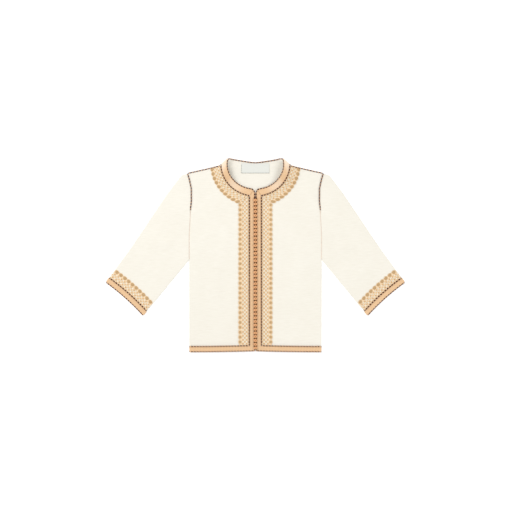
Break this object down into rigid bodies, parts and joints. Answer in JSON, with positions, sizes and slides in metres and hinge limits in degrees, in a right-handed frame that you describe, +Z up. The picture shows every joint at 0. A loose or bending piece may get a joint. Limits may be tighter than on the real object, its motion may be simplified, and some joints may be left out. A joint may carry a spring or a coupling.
{
  "type": "jabador jacket",
  "caption": "Child's collarless long-sleeved festive jacket laid flat, with woven braid, scalloped lace, twisted cord edging and knotted thread buttons down the front.",
  "frame": {"origin": "middle of the underside, on the surface that the jacket lies on", "axes": "+X to the wearer's left sleeve, +Y to the neck, +Z up out of the front"},
  "size_m": [0.6874, 0.446, 0.0096],
  "materials": {
    "jacket_cloth": "matt woven cream crepe",
    "braid": "silky ribbed golden braid",
    "lace": "soft golden thread lace",
    "cord": "silky two-ply twisted cord",
    "knots": "silky thread knots",
    "label": "satin woven ribbon, plain"
  },
  "bodies": {
    "root": {"back_panel": "jacket_cloth", "front_left": "jacket_cloth", "front_right": "jacket_cloth", "sleeve_left": "jacket_cloth", "sleeve_right": "jacket_cloth", "hem_braid_back": "braid", "neck_braid_back": "braid", "neck_braid_left": "braid", "front_braid_left": "braid", "hem_braid_left": "braid", "cuff_braid_left": "braid", "neck_braid_right": "braid", "front_braid_right": "braid", "hem_braid_right": "braid", "cuff_braid_right": "braid", "neck_lace_left": "lace", "front_lace_left": "lace", "cuff_lace_left": "lace", "neck_lace_right": "lace", "front_lace_right": "lace", "cuff_lace_right": "lace", "neck_cord_back": "cord", "edge_cord_left": "cord", "inner_cord_left": "cord", "shoulder_cord_left": "cord", "armhole_cord_left": "cord", "cuff_edge_cord_left": "cord", "cuff_inner_cord_left": "cord", "edge_cord_right": "cord", "inner_cord_right": "cord", "shoulder_cord_right": "cord", "armhole_cord_right": "cord", "cuff_edge_cord_right": "cord", "cuff_inner_cord_right": "cord", "knot_buttons": "knots", "label": "label"}
  },
  "joints": []
}
